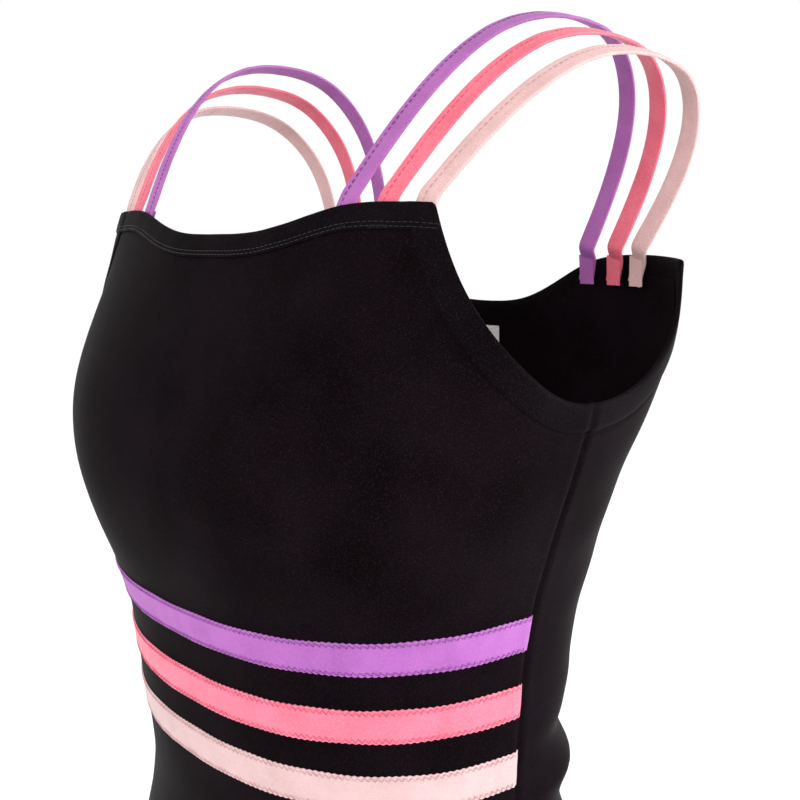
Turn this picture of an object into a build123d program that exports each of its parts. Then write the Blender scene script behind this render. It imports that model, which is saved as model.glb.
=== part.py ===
from build123d import *
import os
from math import cos, pi, radians, sin

# Gymnastics leotard with three straps over each shoulder, in the shape that it has when worn.
# All lengths are in millimetres.
# +Z is up, the wearer faces -Y, and the wearer's left is +X.
# The origin is the centre of the wearer's waist, where a body or a torso form holds the garment.

os.makedirs("parts", exist_ok=True)

# ---- driving dimensions ------------------------------------------------------------------------

# The wearer's torso, one row for each level:
# (height, half width, front depth, back depth, front squareness, back squareness).
# Squareness is the exponent of half a section: 2 is an ellipse, and more is boxier.
TORSO = [
    (305, 172, 68, 99, 2.3, 3.0),
    (280, 171, 78, 104, 2.3, 3.1),
    (250, 167, 91, 107, 2.4, 3.2),
    (210, 163, 111, 109, 2.6, 2.7),
    (170, 152, 120, 106, 2.8, 2.2),
    (130, 139, 116, 98, 2.6, 2.2),
    (90, 130, 104, 89, 2.4, 2.2),
    (40, 126, 98, 79, 2.3, 2.2),
    (0, 126, 93, 77, 2.2, 2.2),
    (-40, 137, 90, 86, 2.2, 2.2),
    (-80, 153, 92, 101, 2.2, 2.2),
    (-120, 165, 95, 113, 2.2, 2.2),
    (-165, 170, 94, 116, 2.2, 2.2),
]
CROTCH_DROP = 97
CROTCH_ANGLES = [20, 38, 53, 66, 78]
SECTION_POINTS = 20

# Each cloth layer lies between two distances from the wearer's skin: (inner face, outer face).
LABEL_LAYER = (-1.6, -1.2)
TAB_LAYER = (-2.1, -0.1)
SEAM_LAYER = (-1.0, -0.1)
LINING_LAYER = (0.0, 0.4)
PANEL_LAYER = (0.5, 1.5)
BAND_LAYER = (0.5, 2.5)
CHANNEL_LAYER = (1.0, 2.0)
ELASTIC_LAYER = (1.1, 1.9)
STRIPE_LAYER = (1.6, 2.0)
TACK_LAYER = (2.6, 3.0)

SIDE_SEAM_Y = -9
SEAM_GAP = 0.1
SEAM_WIDTH = 7
OUTSIDE = 300

# Widths of the bands that finish the edges of the cloth.
NECK_BAND = 11
ARM_BAND = 12
LEG_BAND = 10
BAND_FOLD = 1.2
ELASTIC_MARGIN = 0.4

# Edges of the garment. Neck edges are (x, z) on the left half, arm edges are (y, z).
FRONT_NECK = [(0, 274), (30, 275), (55, 280), (80, 286), (100, 287), (126, 286)]
BACK_NECK = [(0, 236), (30, 239), (55, 250), (80, 261), (102, 264), (130, 264), (160, 262)]
ARM_EDGE = [(-56.5, 300), (-60, 262), (-53, 231), (-32, 211), (-4, 206), (22, 211), (47, 225),
            (68, 248), (82, 290)]
# How each point of an arm edge moves, for each millimetre that the edge is set further into the cloth.
ARM_SHIFT = [(-0.5, 0), (-0.5, 0), (-0.7, -0.6), (-0.4, -0.9), (0, -1), (0.3, -0.9), (0.6, -0.7),
             (0.6, -0.3), (0.5, 0)]

LEG_TOP_Z = -112
GUSSET_HALF_WIDTH = 34
FRONT_LEG_PULL = ((GUSSET_HALF_WIDTH, -235), (GUSSET_HALF_WIDTH, -165), (95, LEG_TOP_Z),
                  (180, LEG_TOP_Z))
BACK_LEG_PULL = ((GUSSET_HALF_WIDTH, -258), (72, -225), (120, LEG_TOP_Z), (180, LEG_TOP_Z))
GUSSET_FRONT_Y = -50
GUSSET_BACK_Y = 64

# Stripes on the front: (top and bottom at the side seams, sag at the centre).
STRIPE_REACH = 139
STRIPES = {"purple": (108.4, 91.7, 6), "rose": (75.2, 59.0, 7), "blush": (41.5, 24.0, 4)}

# Straps: (distance from the centre line, front pivot y, back pivot y, arch height, outward tilt).
STRAPS = {
    "purple": (79.5, -66, 99, 103, 16.5),
    "rose": (99.5, -61.5, 96, 93, 18.5),
    "blush": (117.5, -56.5, 91, 84, 24),
}
FRONT_PIVOT_Z = 293
BACK_PIVOT_Z = 270
STRAP_WIDTH = 10
STRAP_THICKNESS = 2
STRAP_WALL = 0.5
STRAP_END_RADIUS = 4.9
STRAP_GAP = 0.4
TAB_DEPTH = 16
END_SLOPE = 0.35
TACK_WIDTH = 8
TACK_HEIGHT = 2
TACK_DROP = 15
# Shape of every strap over the shoulder, as fractions of its span and of its arch height.
ARCH = [(0, 0), (0.10, 0.345), (0.34, 0.815), (0.61, 0.962), (0.80, 0.935), (0.95, 0.72),
        (1.01, 0.36), (1, 0)]

LABEL_SIZE = (24, 30)
LABEL_TOP_Z = 222

# ---- the torso and its layers ------------------------------------------------------------------


def section_point(angle, width, front, back, front_square, back_square):
    depth = front if sin(angle) < 0 else back
    power = 2 / (front_square if sin(angle) < 0 else back_square)
    x = width * abs(cos(angle)) ** power
    y = depth * abs(sin(angle)) ** power
    return (x if cos(angle) > 0 else -x, y if sin(angle) > 0 else -y)


def torso_levels(grow):
    levels = [(z, a + grow, f + grow, b + grow, *squares) for z, a, f, b, *squares in TORSO]
    hip_z, width, front, back, *squares = levels[-1]
    for angle in CROTCH_ANGLES:
        z = hip_z - (CROTCH_DROP + grow) * sin(radians(angle))
        narrowing = cos(radians(angle))
        levels.append((z, width, front * narrowing, back * narrowing, *squares))
    return levels


def torso(grow):
    angles = [2 * pi * (k + 0.5) / SECTION_POINTS for k in range(SECTION_POINTS)]
    even_steps = [k / SECTION_POINTS for k in range(SECTION_POINTS + 1)]
    with BuildPart() as body:
        for z, *shape in torso_levels(grow):
            with BuildSketch(Plane.XY.offset(z)):
                points = [Vector(*section_point(angle, *shape)) for angle in angles]
                with BuildLine():
                    add(Edge.make_spline(points, periodic=True, parameters=even_steps))
                make_face()
        loft()
    return body.part


layers = {}


def layer(faces):
    if faces not in layers:
        outer = torso(faces[1])
        inner = torso(faces[0])
        with BuildPart() as cloth:
            add(outer)
            add(inner, mode=Mode.SUBTRACT)
        layers[faces] = cloth.part
    return layers[faces]


# ---- cutting tools -----------------------------------------------------------------------------


def block(low, high):
    with BuildPart(Plane(low)) as tool:
        Box(*(Vector(high) - Vector(low)), align=(Align.MIN, Align.MIN, Align.MIN))
    return tool.part


SIDE_PLANE = Plane.XZ.offset(-SIDE_SEAM_Y)
HALVES = {
    "front": block((-OUTSIDE, -OUTSIDE, -2 * OUTSIDE), (OUTSIDE, SIDE_SEAM_Y - SEAM_GAP, 2 * OUTSIDE)),
    "back": block((-OUTSIDE, SIDE_SEAM_Y + SEAM_GAP, -2 * OUTSIDE), (OUTSIDE, OUTSIDE, 2 * OUTSIDE)),
}
DEPTHS = {"front": OUTSIDE, "back": -OUTSIDE}
NECKS = {"front": FRONT_NECK, "back": BACK_NECK}
LEG_PULLS = {"front": FRONT_LEG_PULL, "back": BACK_LEG_PULL}


def neck_points(side, inset):
    left = [(x, z - inset) for x, z in NECKS[side]]
    return [(-x, z) for x, z in reversed(left[1:])] + left


def above_neck(side, inset):
    line = neck_points(side, inset)
    with BuildPart() as tool:
        with BuildSketch(SIDE_PLANE):
            with BuildLine():
                Spline(*line)
                Polyline(line[-1], (OUTSIDE, line[-1][1]), (OUTSIDE, 2 * OUTSIDE),
                         (-OUTSIDE, 2 * OUTSIDE), (-OUTSIDE, line[0][1]), line[0])
            make_face()
        extrude(amount=DEPTHS[side])
    return tool.part


def neck_strip(side, from_edge, to_edge):
    upper = neck_points(side, from_edge)
    lower = neck_points(side, to_edge)
    with BuildPart() as tool:
        with BuildSketch(SIDE_PLANE):
            with BuildLine():
                Spline(*upper)
                Spline(*lower)
                Line(upper[0], lower[0])
                Line(upper[-1], lower[-1])
            make_face()
        extrude(amount=DEPTHS[side])
    return tool.part


def arm_points(inset):
    return [(y + dy * inset, z + dz * inset) for (y, z), (dy, dz) in zip(ARM_EDGE, ARM_SHIFT)]


def arm_gap(inset):
    line = arm_points(inset)
    with BuildPart() as tool:
        with BuildSketch(Plane.YZ):
            with BuildLine():
                Spline(*line)
                Polyline(line[-1], (line[-1][0], 2 * OUTSIDE), (line[0][0], 2 * OUTSIDE), line[0])
            make_face()
        extrude(amount=OUTSIDE, both=True)
    return tool.part


def arm_strip(from_edge, to_edge):
    inner = arm_points(from_edge)
    outer = arm_points(to_edge)
    with BuildPart() as tool:
        with BuildSketch(Plane.YZ):
            with BuildLine():
                Spline(*inner)
                Spline(*outer)
                Line(inner[0], outer[0])
                Line(inner[-1], outer[-1])
            make_face()
        extrude(amount=OUTSIDE)
    return tool.part


def leg_curve(side, inset):
    (x0, z0), (x1, z1), (x2, z2), (x3, z3) = LEG_PULLS[side]
    return [(x0 - inset, z0), (x1 - inset, z1 + inset / 2), (x2 - inset / 2, z2 + inset),
            (x3, z3 + inset)]


def leg_gap(side, inset):
    curve = leg_curve(side, inset)
    with BuildPart() as tool:
        with BuildSketch(SIDE_PLANE):
            with BuildLine():
                Bezier(*curve)
                Polyline(curve[-1], (OUTSIDE, curve[-1][1]), (OUTSIDE, -2 * OUTSIDE),
                         (curve[0][0], -2 * OUTSIDE), curve[0])
            make_face()
            mirror(about=Plane.YZ)
        extrude(amount=DEPTHS[side])
    return tool.part


def leg_strip(side, from_edge, to_edge):
    outer = leg_curve(side, from_edge)
    inner = leg_curve(side, to_edge)
    with BuildPart() as tool:
        with BuildSketch(SIDE_PLANE):
            with BuildLine():
                Bezier(*outer)
                Bezier(*inner)
                Line(outer[-1], inner[-1])
                Polyline(outer[0], (outer[0][0], -2 * OUTSIDE), (inner[0][0], -2 * OUTSIDE), inner[0])
            make_face()
        extrude(amount=DEPTHS[side])
    return tool.part


def cut_cloth(faces, keep, waste):
    cloth = layer(faces)
    with BuildPart() as piece:
        add(cloth)
        add(keep, mode=Mode.INTERSECT)
        for tool in waste:
            add(tool, mode=Mode.SUBTRACT)
    return piece.part


# ---- panels and linings ------------------------------------------------------------------------

HIP_Z = TORSO[-1][0]
gusset_waste = block((-OUTSIDE, GUSSET_FRONT_Y, -2 * OUTSIDE), (OUTSIDE, GUSSET_BACK_Y, HIP_Z))
gusset_zone = block((-OUTSIDE, GUSSET_FRONT_Y + SEAM_GAP, -2 * OUTSIDE),
                    (OUTSIDE, GUSSET_BACK_Y - SEAM_GAP, HIP_Z))
arm_waste = arm_gap(ARM_BAND)
leg_waste = [leg_gap("front", LEG_BAND), leg_gap("back", LEG_BAND)]
panel_waste = [arm_waste, gusset_waste] + leg_waste

with BuildPart() as front_panel:
    add(cut_cloth(PANEL_LAYER, HALVES["front"], panel_waste + [above_neck("front", NECK_BAND)]))

with BuildPart() as back_panel:
    add(cut_cloth(PANEL_LAYER, HALVES["back"], panel_waste + [above_neck("back", NECK_BAND)]))

with BuildPart() as front_lining:
    add(cut_cloth(LINING_LAYER, HALVES["front"], panel_waste + [above_neck("front", NECK_BAND)]))

with BuildPart() as crotch_gusset:
    add(cut_cloth(PANEL_LAYER, gusset_zone, leg_waste))

with BuildPart() as gusset_lining:
    add(cut_cloth(LINING_LAYER, gusset_zone, leg_waste))

# ---- stripes, sewn flat on the front from one side seam to the other ---------------------------


def stripe(name):
    top_z, bottom_z, sag = STRIPES[name]
    with BuildPart() as tool:
        with BuildSketch(SIDE_PLANE.offset(SEAM_GAP)):
            with BuildLine():
                ThreePointArc((-STRIPE_REACH, top_z), (0, top_z - sag), (STRIPE_REACH, top_z))
                Line((STRIPE_REACH, top_z), (STRIPE_REACH, bottom_z))
                ThreePointArc((STRIPE_REACH, bottom_z), (0, bottom_z - sag), (-STRIPE_REACH, bottom_z))
                Line((-STRIPE_REACH, bottom_z), (-STRIPE_REACH, top_z))
            make_face()
        extrude(amount=OUTSIDE)
    return cut_cloth(STRIPE_LAYER, tool.part, [])


# ---- bands along the edges: a folded strip, open towards the cloth, with an elastic in it ------


def neck_band(side):
    folded = cut_cloth(BAND_LAYER, neck_strip(side, 0, NECK_BAND - SEAM_GAP),
                       [arm_gap(ARM_BAND + SEAM_GAP)])
    channel = cut_cloth(CHANNEL_LAYER, neck_strip(side, BAND_FOLD, 2 * NECK_BAND), [])
    with BuildPart() as band:
        add(folded)
        add(channel, mode=Mode.SUBTRACT)
    return band.part


def neck_elastic(side):
    strip = neck_strip(side, BAND_FOLD + ELASTIC_MARGIN, NECK_BAND - ELASTIC_MARGIN)
    return cut_cloth(ELASTIC_LAYER, strip, [arm_gap(ARM_BAND + ELASTIC_MARGIN)])


def arm_band():
    folded = cut_cloth(BAND_LAYER, arm_strip(0, ARM_BAND - SEAM_GAP),
                       [above_neck("front", 0), above_neck("back", 0)])
    channel = cut_cloth(CHANNEL_LAYER, arm_strip(BAND_FOLD, 2 * ARM_BAND), [])
    with BuildPart() as band:
        add(folded)
        add(channel, mode=Mode.SUBTRACT)
    return band.part


def arm_elastic():
    strip = arm_strip(BAND_FOLD + ELASTIC_MARGIN, ARM_BAND - ELASTIC_MARGIN)
    above_ends = [above_neck("front", ELASTIC_MARGIN), above_neck("back", ELASTIC_MARGIN)]
    return cut_cloth(ELASTIC_LAYER, strip, above_ends)


def leg_pieces(faces, from_edge, to_edge):
    pieces = [cut_cloth(faces, leg_strip(side, from_edge, to_edge), []) for side in ("front", "back")]
    with BuildPart() as ring:
        for piece in pieces:
            add(piece)
    return ring.part


def leg_band():
    folded = leg_pieces(BAND_LAYER, 0, LEG_BAND - SEAM_GAP)
    channel = leg_pieces(CHANNEL_LAYER, BAND_FOLD, 2 * LEG_BAND)
    with BuildPart() as band:
        add(folded)
        add(channel, mode=Mode.SUBTRACT)
    return band.part


def leg_elastic():
    return leg_pieces(ELASTIC_LAYER, BAND_FOLD + ELASTIC_MARGIN, LEG_BAND - ELASTIC_MARGIN)


# ---- side seams and label ----------------------------------------------------------------------


def side_seam():
    tape = block((0, SIDE_SEAM_Y, HIP_Z), (OUTSIDE, SIDE_SEAM_Y + SEAM_WIDTH, OUTSIDE))
    return cut_cloth(SEAM_LAYER, tape, [arm_waste] + leg_waste)


LABEL_WIDTH, LABEL_LENGTH = LABEL_SIZE
label_low = (-LABEL_WIDTH / 2, 0, LABEL_TOP_Z - LABEL_LENGTH)
label_zone = block(label_low, (LABEL_WIDTH / 2, OUTSIDE, LABEL_TOP_Z))
with BuildPart() as care_label:
    add(cut_cloth(LABEL_LAYER, label_zone, []))

# ---- straps ------------------------------------------------------------------------------------

STRAP_END_ZONES = ((FRONT_PIVOT_Z, -OUTSIDE, 0), (BACK_PIVOT_Z, 0, OUTSIDE))


def strap_plane(front, back, tilt):
    along = (back - front).normalized()
    upright = Vector(1, 0, 0).cross(along)
    lean = upright * cos(radians(tilt)) + Vector(1, 0, 0) * sin(radians(tilt))
    return Plane(origin=front, x_dir=along, z_dir=along.cross(lean))


def strap_arch(name, thickness, width):
    x, front_y, back_y, height, tilt = STRAPS[name]
    front = Vector(x, front_y, FRONT_PIVOT_Z)
    back = Vector(x, back_y, BACK_PIVOT_Z)
    span = (back - front).length
    points = [(s * span, t * height) for s, t in ARCH]
    points[0] = (-STRAP_END_RADIUS * END_SLOPE, -STRAP_END_RADIUS)
    points[-1] = (span, -STRAP_END_RADIUS)
    with BuildPart() as band:
        with BuildSketch(strap_plane(front, back, tilt)):
            with BuildLine():
                Spline(*points)
            trace(line_width=thickness)
        extrude(amount=width / 2, both=True)
    return band.part


def strap_cover(name):
    hollow = strap_arch(name, STRAP_THICKNESS - 2 * STRAP_WALL, STRAP_WIDTH - 4 * STRAP_WALL)
    with BuildPart() as cover:
        add(strap_arch(name, STRAP_THICKNESS, STRAP_WIDTH))
        corners = cover.edges().filter_by(lambda edge: abs(edge.length - STRAP_THICKNESS) < 0.01)
        fillet(corners, radius=STRAP_END_RADIUS)
        add(hollow, mode=Mode.SUBTRACT)
    return cover.part


def strap_elastic(name):
    thickness = STRAP_THICKNESS - 2 * STRAP_WALL - 2 * SEAM_GAP
    width = STRAP_WIDTH - 4 * STRAP_WALL - 2 * SEAM_GAP
    arch = strap_arch(name, thickness, width)
    with BuildPart() as elastic:
        add(arch)
        for pivot_z, low_y, high_y in STRAP_END_ZONES:
            stub = block((-OUTSIDE, low_y, -OUTSIDE), (OUTSIDE, high_y, pivot_z - SEAM_GAP))
            add(stub, mode=Mode.SUBTRACT)
    return elastic.part


def at_strap_ends(faces, half_width, top_below_pivot, bottom_below_pivot, names):
    pieces = []
    for name in names:
        x = STRAPS[name][0]
        for pivot_z, low_y, high_y in STRAP_END_ZONES:
            low = (x - half_width, low_y, pivot_z - bottom_below_pivot)
            high = (x + half_width, high_y, pivot_z - top_below_pivot)
            pieces.append(cut_cloth(faces, block(low, high), []))
    with BuildPart() as group:
        for piece in pieces:
            add(piece)
        mirror(about=Plane.YZ)
    return group.part


# ---- export ------------------------------------------------------------------------------------


def finish(part, name):
    part.label = name
    export_step(part, "parts/" + name + ".step")


def finish_pair(left, name):
    finish(left, "left_" + name)
    with BuildPart() as right:
        add(mirror(left, about=Plane.YZ, mode=Mode.PRIVATE))
    finish(right.part, "right_" + name)


finish(front_panel.part, "front_panel")
finish(back_panel.part, "back_panel")
finish(front_lining.part, "front_lining")
finish(crotch_gusset.part, "crotch_gusset")
finish(gusset_lining.part, "gusset_lining")
finish(care_label.part, "care_label")

for half in ("front", "back"):
    finish(neck_band(half), half + "_neck_binding")
    finish(neck_elastic(half), half + "_neck_elastic")

finish_pair(arm_band(), "armhole_binding")
finish_pair(arm_elastic(), "armhole_elastic")
finish_pair(leg_band(), "leg_binding")
finish_pair(leg_elastic(), "leg_elastic")
finish_pair(side_seam(), "side_seam")

tab_top = STRAP_END_RADIUS + STRAP_GAP
for colour in STRAPS:
    finish(stripe(colour), colour + "_stripe")
    finish(at_strap_ends(TAB_LAYER, STRAP_WIDTH / 2, tab_top, tab_top + TAB_DEPTH, [colour]),
           colour + "_strap_ends")
    finish_pair(strap_cover(colour), colour + "_strap")
    finish_pair(strap_elastic(colour), colour + "_strap_elastic")

tack_bottom = TACK_DROP + TACK_HEIGHT
finish(at_strap_ends(TACK_LAYER, TACK_WIDTH / 2, TACK_DROP, tack_bottom, STRAPS), "strap_tacks")
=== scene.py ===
import math

import bpy
import numpy as np
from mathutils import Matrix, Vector
from mathutils.bvhtree import BVHTree


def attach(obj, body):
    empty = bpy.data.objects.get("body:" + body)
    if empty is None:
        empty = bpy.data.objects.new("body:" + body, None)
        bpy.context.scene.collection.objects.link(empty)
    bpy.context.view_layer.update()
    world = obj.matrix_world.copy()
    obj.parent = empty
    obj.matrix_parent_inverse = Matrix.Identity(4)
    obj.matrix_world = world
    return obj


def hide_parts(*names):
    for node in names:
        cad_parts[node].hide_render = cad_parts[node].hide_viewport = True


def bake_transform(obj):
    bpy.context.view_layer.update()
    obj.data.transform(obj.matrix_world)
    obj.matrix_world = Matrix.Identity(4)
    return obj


# Gymnastics leotard with three straps over each shoulder. Shapes are worked out in millimetres and
# made in metres: the wearer faces -Y, +X is the wearer's left, and the origin is the centre of the waist.

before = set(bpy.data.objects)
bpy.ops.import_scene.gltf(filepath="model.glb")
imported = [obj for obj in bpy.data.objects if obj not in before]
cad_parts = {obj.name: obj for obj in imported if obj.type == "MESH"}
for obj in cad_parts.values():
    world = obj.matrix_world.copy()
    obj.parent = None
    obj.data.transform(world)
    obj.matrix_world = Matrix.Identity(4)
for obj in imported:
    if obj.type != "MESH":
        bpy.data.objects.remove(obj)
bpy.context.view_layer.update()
MM = 0.001

# ---- shape of the garment, as in the CAD model -----------------------------

# One row for each level of the torso: (height, half width, front and back depth, front and back squareness).
TORSO = [
    (305, 172, 68, 99, 2.3, 3.0),
    (280, 171, 78, 104, 2.3, 3.1),
    (250, 167, 91, 107, 2.4, 3.2),
    (210, 163, 111, 109, 2.6, 2.7),
    (170, 152, 120, 106, 2.8, 2.2),
    (130, 139, 116, 98, 2.6, 2.2),
    (90, 130, 104, 89, 2.4, 2.2),
    (40, 126, 98, 79, 2.3, 2.2),
    (0, 126, 93, 77, 2.2, 2.2),
    (-40, 137, 90, 86, 2.2, 2.2),
    (-80, 153, 92, 101, 2.2, 2.2),
    (-120, 165, 95, 113, 2.2, 2.2),
    (-165, 170, 94, 116, 2.2, 2.2),
]
CROTCH_DROP = 97
CROTCH_ANGLES = [20, 38, 53, 66, 78]
SECTION_POINTS = 20

SIDE_SEAM_Y = -9
NECK_BAND = 11
ARM_BAND = 12
LEG_BAND = 10
FRONT_NECK = [(0, 274), (30, 275), (55, 280), (80, 286), (100, 287), (126, 286)]
BACK_NECK = [(0, 236), (30, 239), (55, 250), (80, 261), (102, 264), (130, 264), (160, 262)]
ARM_EDGE = [(-56.5, 300), (-60, 262), (-53, 231), (-32, 211), (-4, 206), (22, 211), (47, 225), (68, 248),
            (82, 290)]
LEG_TOP_Z = -112
GUSSET_HALF_WIDTH = 34
FRONT_LEG_PULL = ((GUSSET_HALF_WIDTH, -235), (GUSSET_HALF_WIDTH, -165), (95, LEG_TOP_Z), (180, LEG_TOP_Z))
BACK_LEG_PULL = ((GUSSET_HALF_WIDTH, -258), (72, -225), (120, LEG_TOP_Z), (180, LEG_TOP_Z))
GUSSET_FRONT_Y = -50
GUSSET_BACK_Y = 64
STRIPES = {"purple": (108.4, 91.7, 6), "rose": (75.2, 59.0, 7), "blush": (41.5, 24.0, 4)}
STRAPS = {"purple": (79.5, -66, 99, 103, 16.5), "rose": (99.5, -61.5, 96, 93, 18.5),
          "blush": (117.5, -56.5, 91, 84, 24)}
FRONT_PIVOT_Z = 293
BACK_PIVOT_Z = 270
STRAP_WIDTH = 10
ARCH = [(0.10, 0.345), (0.34, 0.815), (0.61, 0.962), (0.80, 0.935), (0.95, 0.72), (1.01, 0.36)]
STRAP_END_DROP = 4.9
STRAP_END_LEAN = 1.7
END_SLANT = 0.8

# Mesh density: cells round the body, cells from top to bottom, and spacing along a band.
CELLS_ROUND = 300
CELLS_DOWN = 300
BAND_STEP = 1.5


# ---- splines and the torso surface -----------------------------------------


def spline_weights(at, knots, period=None):
    """Rows that turn values at the knots into a cubic spline's values at each place in `at`."""
    knots = np.asarray(knots, float)
    count = len(knots)
    if period:
        ends = np.append(knots, knots[0] + period)
        at = (np.asarray(at, float) - knots[0]) % period + knots[0]
    else:
        ends = knots
        at = np.clip(np.asarray(at, float), knots[0], knots[-1])
    step = np.diff(ends)
    system = np.zeros((count, count))
    slopes = np.zeros((count, count))
    if not period:
        system[0, 0] = 1
        system[-1, -1] = 1
    for i in (range(count) if period else range(1, count - 1)):
        before = step[(i - 1) % len(step)]
        after = step[i % len(step)]
        left, right = (i - 1) % count, (i + 1) % count
        system[i, left] += before
        system[i, i] += 2 * (before + after)
        system[i, right] += after
        slopes[i, right] += 6 / after
        slopes[i, i] -= 6 / after + 6 / before
        slopes[i, left] += 6 / before
    bends = np.linalg.solve(system, slopes)
    cell = np.clip(np.searchsorted(ends, at, side="right") - 1, 0, len(step) - 1)
    h = step[cell]
    a = (ends[cell + 1] - at) / h
    b = 1 - a
    eye = np.eye(count)
    following = (cell + 1) % count
    rows = a[:, None] * eye[cell] + b[:, None] * eye[following]
    rows += ((a ** 3 - a) * h ** 2 / 6)[:, None] * bends[cell]
    rows += ((b ** 3 - b) * h ** 2 / 6)[:, None] * bends[following]
    return rows


def lengths_along(points):
    return np.concatenate([[0], np.cumsum(np.linalg.norm(np.diff(points, axis=0), axis=1))])


def smooth_line(points, count):
    """A cubic spline through the points, at `count` places."""
    points = np.asarray(points, float)
    knots = lengths_along(points)
    return spline_weights(np.linspace(0, knots[-1], count), knots) @ points


def section_point(angle, width, front, back, front_square, back_square):
    depth = front if math.sin(angle) < 0 else back
    power = 2 / (front_square if math.sin(angle) < 0 else back_square)
    x = width * abs(math.cos(angle)) ** power
    y = depth * abs(math.sin(angle)) ** power
    return math.copysign(x, math.cos(angle)), math.copysign(y, math.sin(angle))


def torso_levels():
    levels = list(TORSO)
    hip_z, width, front, back, *squares = levels[-1]
    for angle in CROTCH_ANGLES:
        narrowing = math.cos(math.radians(angle))
        z = hip_z - CROTCH_DROP * math.sin(math.radians(angle))
        levels.append((z, width, front * narrowing, back * narrowing, *squares))
    return levels


LEVELS = torso_levels()
SECTION_ANGLES = [2 * math.pi * (k + 0.5) / SECTION_POINTS for k in range(SECTION_POINTS)]
SKIN = np.array([[(*section_point(t, *shape), z) for t in SECTION_ANGLES] for z, *shape in LEVELS])
LEVEL_KNOTS = lengths_along(SKIN.mean(axis=1) + np.array([[level[1], level[2], 0] for level in LEVELS]))
ROUND_KNOTS = np.array(SECTION_ANGLES)


def skin_at(down, angle):
    """Points of the wearer's skin, for places down the body and angles round it."""
    rows = spline_weights(down, LEVEL_KNOTS)
    columns = spline_weights(angle, ROUND_KNOTS, period=2 * math.pi)
    return np.einsum("nl,nk,lkc->nc", rows, columns, SKIN, optimize=True)


def skin_normals(down, angle):
    across = skin_at(down, angle + 0.002) - skin_at(down, angle - 0.002)
    above, below = np.clip(down - 0.2, 0, None), np.clip(down + 0.2, 0, LEVEL_KNOTS[-1])
    along = skin_at(below, angle) - skin_at(above, angle)
    normals = np.cross(along, across)
    return normals / np.linalg.norm(normals, axis=1)[:, None]


GRID_DOWN = np.repeat(np.linspace(0, LEVEL_KNOTS[-1], CELLS_DOWN + 1), CELLS_ROUND)
GRID_ANGLE = np.tile(np.arange(CELLS_ROUND) * 2 * math.pi / CELLS_ROUND, CELLS_DOWN + 1)
GRID_POINTS = skin_at(GRID_DOWN, GRID_ANGLE)


def grid_faces():
    rows = np.arange(CELLS_DOWN)[:, None] * CELLS_ROUND
    columns = np.arange(CELLS_ROUND)[None, :]
    after = (columns + 1) % CELLS_ROUND
    quads = np.stack([rows + columns, rows + after, rows + CELLS_ROUND + after,
                      rows + CELLS_ROUND + columns], -1)
    return quads.reshape(-1, 4)


GRID_FACES = grid_faces()
TRIANGLES = np.concatenate([GRID_FACES[:, [0, 1, 2]], GRID_FACES[:, [0, 2, 3]]])
SKIN_TREE = BVHTree.FromPolygons(GRID_POINTS.tolist(), TRIANGLES.tolist())


def unit(vectors):
    return vectors / np.linalg.norm(vectors, axis=-1, keepdims=True)


def folds(points):
    """How far the cloth stands off the body where it is slack, in millimetres."""
    x, y, z = points[:, 0], points[:, 1], points[:, 2]
    behind = 1 / (1 + np.exp(-(y - 8) / 9))
    centre = 0.55 + 0.45 * np.exp(-((np.abs(x) - 88) / 40) ** 2)
    drift = z + 0.05 * np.abs(x) + 2.5 * np.sin(x / 23)
    ridge = 7.4 * np.exp(-np.abs((drift - 19) / 10.5) ** 1.7) - 2.2 * np.exp(-((drift - 40) / 7) ** 2)
    ridge += 1.6 * np.exp(-((drift + 18) / 10) ** 2) + 1.2 * np.exp(-((drift - 66) / 10) ** 2)
    slack = 0.22 * np.sin(z / 9 + x / 31) * np.sin(x / 17 - y / 21) + 0.15 * np.sin(z / 5.3 - y / 13 + 1.3)
    from_seam = np.abs(y - SIDE_SEAM_Y)
    seam = 0.25 * np.exp(-((from_seam - 4) / 2.2) ** 2) - 0.9 * np.exp(-(from_seam / 1.3) ** 2)
    beside = 1 / (1 + np.exp(-(np.abs(x) - 70) / 4))
    return behind * centre * ridge + slack * (0.35 + 0.65 * behind) + seam * beside


def drape(points, height):
    """Moves points onto the body and out by `height` millimetres, folds included: (points, normals)."""
    points = np.asarray(points, float)
    found = [SKIN_TREE.find_nearest(point) for point in points.tolist()]
    places = np.array([f[0] for f in found])
    corners = TRIANGLES[[f[2] for f in found]]
    p, q, r = (GRID_POINTS[corners[:, k]] for k in range(3))
    e, f, w = q - p, r - p, places - p
    ee, ef, ff = (e * e).sum(1), (e * f).sum(1), (f * f).sum(1)
    we, wf = (w * e).sum(1), (w * f).sum(1)
    scale = ee * ff - ef * ef
    s, t = (ff * we - ef * wf) / scale, (ee * wf - ef * we) / scale
    down = GRID_DOWN[corners]
    angle = GRID_ANGLE[corners]
    angle = angle[:, :1] + (angle - angle[:, :1] + math.pi) % (2 * math.pi) - math.pi
    downs = down[:, 0] + s * (down[:, 1] - down[:, 0]) + t * (down[:, 2] - down[:, 0])
    angles = angle[:, 0] + s * (angle[:, 1] - angle[:, 0]) + t * (angle[:, 2] - angle[:, 0])
    return settle(downs, angles, height)


def settle(downs, angles, height):
    skin = skin_at(downs, angles)
    normals = skin_normals(downs, angles)
    reach = np.asarray(height, float) + folds(skin)
    return skin + normals * reach.reshape(-1, 1), normals


def skin_point(x, z, side):
    """The skin straight in front of (side -1) or behind (side 1) a place given by x and z."""
    hit = SKIN_TREE.ray_cast((x, side * 400, z), (0, -side, 0))[0]
    return np.array(hit)


# ---- edges of the garment, as lines on the skin ----------------------------


def bezier(pulls, count=60):
    t = np.linspace(0, 1, count)[:, None]
    a, b, c, d = (np.array(p, float) for p in pulls)
    return (1 - t) ** 3 * a + 3 * (1 - t) ** 2 * t * b + 3 * (1 - t) * t ** 2 * c + t ** 3 * d


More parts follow.
